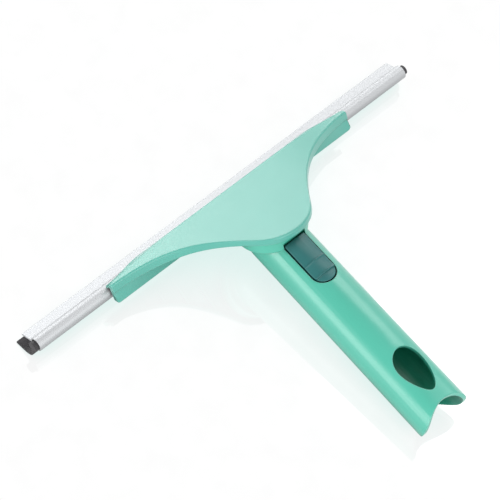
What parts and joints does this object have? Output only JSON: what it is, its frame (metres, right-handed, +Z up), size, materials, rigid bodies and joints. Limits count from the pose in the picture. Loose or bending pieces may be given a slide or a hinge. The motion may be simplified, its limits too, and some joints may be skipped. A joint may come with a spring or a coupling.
{
  "type": "window cleaning squeegee",
  "caption": "Window squeegee with a wing-shaped head on an aluminium rail with a rubber blade, swivelling on a hollow push-on handle with a lock button.",
  "frame": {"origin": "centre of the object's box, on the surface it lies on", "axes": "+X along the rail, +Y forward towards the wiping edge, +Z up"},
  "size_m": [0.285, 0.1862, 0.0525],
  "materials": {
    "mint_plastic": "moulded, satin gloss",
    "teal_plastic": "moulded, fine texture",
    "rail_aluminium": "extruded and anodised, satin",
    "blade_rubber": "soft, matt",
    "white_nylon": "moulded",
    "steel": "zinc plated"
  },
  "bodies": {
    "grip": {"handle": "mint_plastic", "button_spring": "steel"},
    "head": {"head_shell": "mint_plastic", "rail": "rail_aluminium", "rubber_blade": "blade_rubber", "lock_ring": "white_nylon", "pivot_washer": "steel", "pivot_screw": "steel"},
    "button": {"push_button": "teal_plastic"}
  },
  "joints": [
    {"name": "head_swivel", "type": "hinge", "parent": "grip", "child": "head", "pos_m": [0, 0.05197, 0.04201], "axis": [0, 0.454, 0.891], "range_deg": [-90, 90]},
    {"name": "button_press", "type": "slide", "parent": "grip", "child": "button", "axis": [0, 0.0863, -0.9963], "range_m": [0, 0.003], "stiffness_N_per_m": 1500, "springref_m": -0.003, "deforming": ["button_spring"]}
  ]
}
